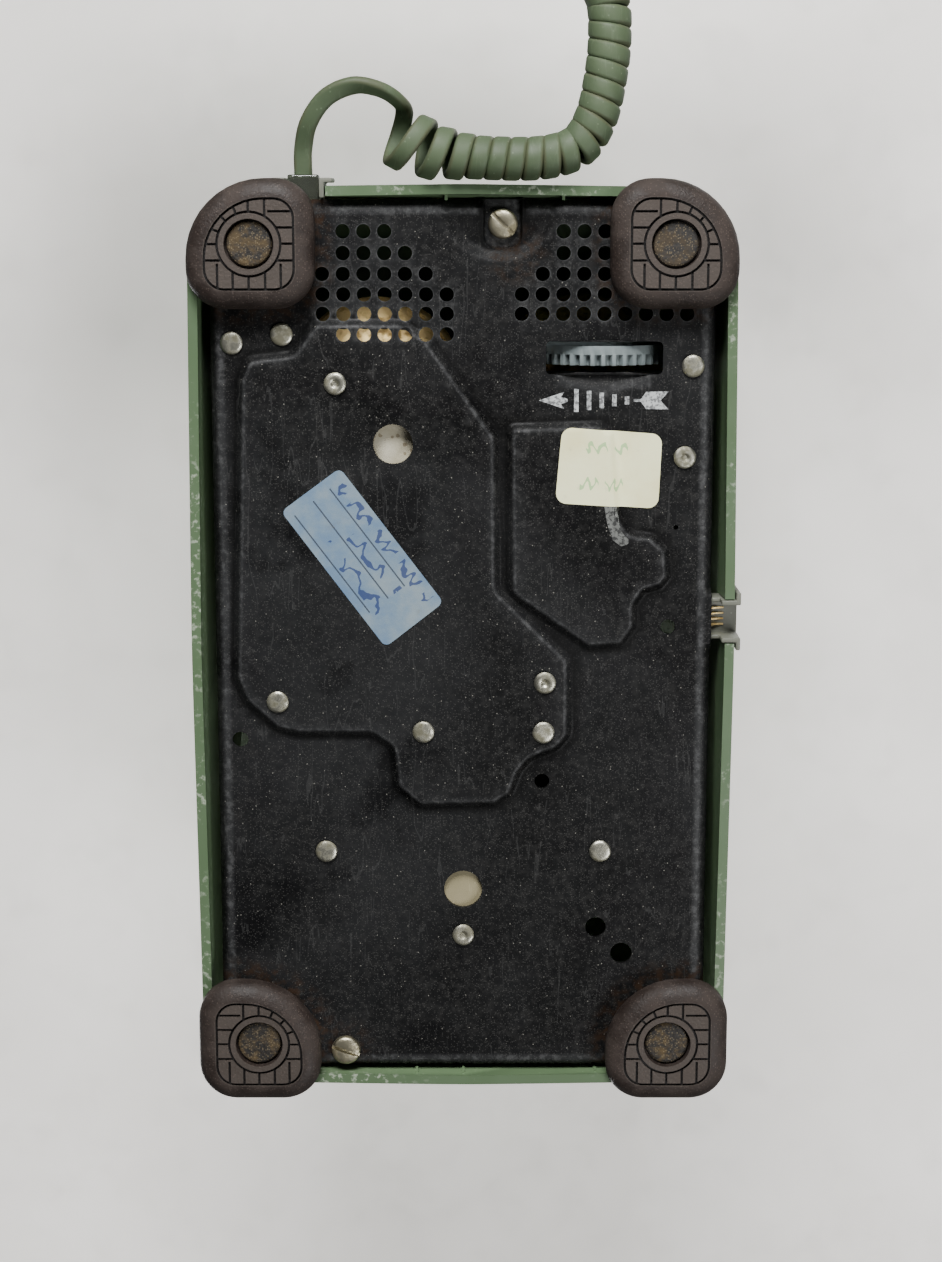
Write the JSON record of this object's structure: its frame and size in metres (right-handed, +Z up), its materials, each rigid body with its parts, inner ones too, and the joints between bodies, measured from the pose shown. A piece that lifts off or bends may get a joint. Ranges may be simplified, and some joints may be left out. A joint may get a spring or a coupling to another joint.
{
  "type": "rotary desk telephone",
  "caption": "Vintage rotary desk telephone with a green moulded housing, a black steel base on rubber feet and a handset on a coiled cord.",
  "frame": {"origin": "under the middle of the bounding box of the set and its handset, on the surface that it stands on", "axes": "+X to the right of someone who faces the dial, +Y to the rear, where the handset lies, +Z up"},
  "size_m": [0.2337, 0.3402, 0.112],
  "materials": {
    "painted_steel": "worn black paint on pressed steel, dusty",
    "housing_plastic": "moss green moulded plastic, satin with fine scratches",
    "foot_rubber": "aged brown rubber",
    "foot_rivet_steel": "dull steel with light rust",
    "rivet_zinc": "bright zinc plate",
    "screw_brass": "tarnished brass",
    "jack_plastic": "light grey moulded plastic",
    "board": "cream laminate with brown specks",
    "dust_cover": "khaki moulded plastic",
    "frame_steel": "zinc-plated steel sheet",
    "gong_brass": "dull spun brass",
    "winding": "varnished tape over a copper winding",
    "wheel_plastic": "light blue-grey moulded plastic, dusty",
    "clear_plastic": "clear moulded plastic",
    "card_paper": "off-white card under a clear cover",
    "cord_jacket": "moss green cord jacket"
  },
  "bodies": {
    "base": {"base_plate": "painted_steel", "foot_rear_left": "foot_rubber", "foot_rear_right": "foot_rubber", "foot_front_left": "foot_rubber", "foot_front_right": "foot_rubber", "foot_rivet_rear_left": "foot_rivet_steel", "foot_rivet_rear_right": "foot_rivet_steel", "foot_rivet_front_left": "foot_rivet_steel", "foot_rivet_front_right": "foot_rivet_steel", "rivet_1": "rivet_zinc", "rivet_2": "rivet_zinc", "rivet_3": "rivet_zinc", "rivet_4": "rivet_zinc", "rivet_5": "rivet_zinc", "rivet_6": "rivet_zinc", "rivet_7": "rivet_zinc", "rivet_8": "rivet_zinc", "rivet_9": "rivet_zinc", "rivet_10": "rivet_zinc", "rivet_11": "rivet_zinc", "rivet_12": "rivet_zinc", "housing_screw_rear": "screw_brass", "housing_screw_front": "screw_brass", "housing": "housing_plastic", "line_jack": "jack_plastic", "handset_jack": "jack_plastic", "network_board": "board", "network_can": "dust_cover", "ringer_frame": "frame_steel", "ringer_coil": "winding", "gong_large": "gong_brass", "gong_small": "gong_brass", "gong_screw_large": "frame_steel", "gong_screw_small": "frame_steel", "hook_bracket": "frame_steel", "contact_springs": "gong_brass", "dial_bracket": "frame_steel", "number_ring": "housing_plastic", "dial_body": "dust_cover", "finger_stop": "frame_steel", "cord_lead": "cord_jacket", "cord_coil": "cord_jacket", "base_plug": "clear_plastic"},
    "finger_wheel": {"finger_wheel": "clear_plastic", "dial_card": "card_paper", "dial_shaft": "frame_steel"},
    "plunger_left": {"plunger_left": "clear_plastic"},
    "plunger_right": {"plunger_right": "clear_plastic"},
    "hook_lever": {"hook_lever": "frame_steel"},
    "loudness_wheel": {"loudness_wheel": "wheel_plastic"},
    "clapper": {"clapper": "gong_brass"},
    "handset": {"handset_shell": "housing_plastic", "transmitter_cap": "housing_plastic", "receiver_cap": "housing_plastic", "transmitter_unit": "frame_steel", "receiver_unit": "frame_steel", "handset_plug": "clear_plastic", "cord_tail": "cord_jacket"}
  },
  "joints": [
    {"name": "dial_turn", "type": "hinge", "parent": "base", "child": "finger_wheel", "pos_m": [-0.008, -0.0879, 0.06366], "axis": [0, 0.4226, -0.9063], "range_deg": [0, 330], "stiffness_Nm_per_rad": 0.004, "springref_deg": -57.3},
    {"name": "plunger_left_press", "type": "slide", "parent": "base", "child": "plunger_left", "axis": [0, 0, -1], "range_m": [0, 0.007], "stiffness_N_per_m": 150, "springref_m": -0.004},
    {"name": "plunger_right_press", "type": "slide", "parent": "base", "child": "plunger_right", "axis": [0, 0, -1], "range_m": [0, 0.007]},
    {"name": "hook_tilt", "type": "hinge", "parent": "base", "child": "hook_lever", "pos_m": [-0.008, -0.0159, 0.08265], "axis": [-1, 0, 0], "range_deg": [0, 17.1]},
    {"name": "loudness_turn", "type": "hinge", "parent": "base", "child": "loudness_wheel", "pos_m": [-0.0426, 0.0188, 0.0273], "axis": [0, 1, 0], "range_deg": [-45, 45]},
    {"name": "clapper_swing", "type": "hinge", "parent": "base", "child": "clapper", "pos_m": [-0.01275, 0.0101, 0.07], "axis": [0, 1, 0], "range_deg": [-2, 2], "stiffness_Nm_per_rad": 0.05},
    {"name": "handset_lift", "type": "slide", "parent": "base", "child": "handset", "axis": [0, 0, 1], "range_m": [0, 0.1]}
  ],
  "couplings": [
    {"joint": "plunger_right_press", "follows": "plunger_left_press", "ratio": 1},
    {"joint": "hook_tilt", "follows": "plunger_left_press", "rad_per_m": 42.29}
  ]
}
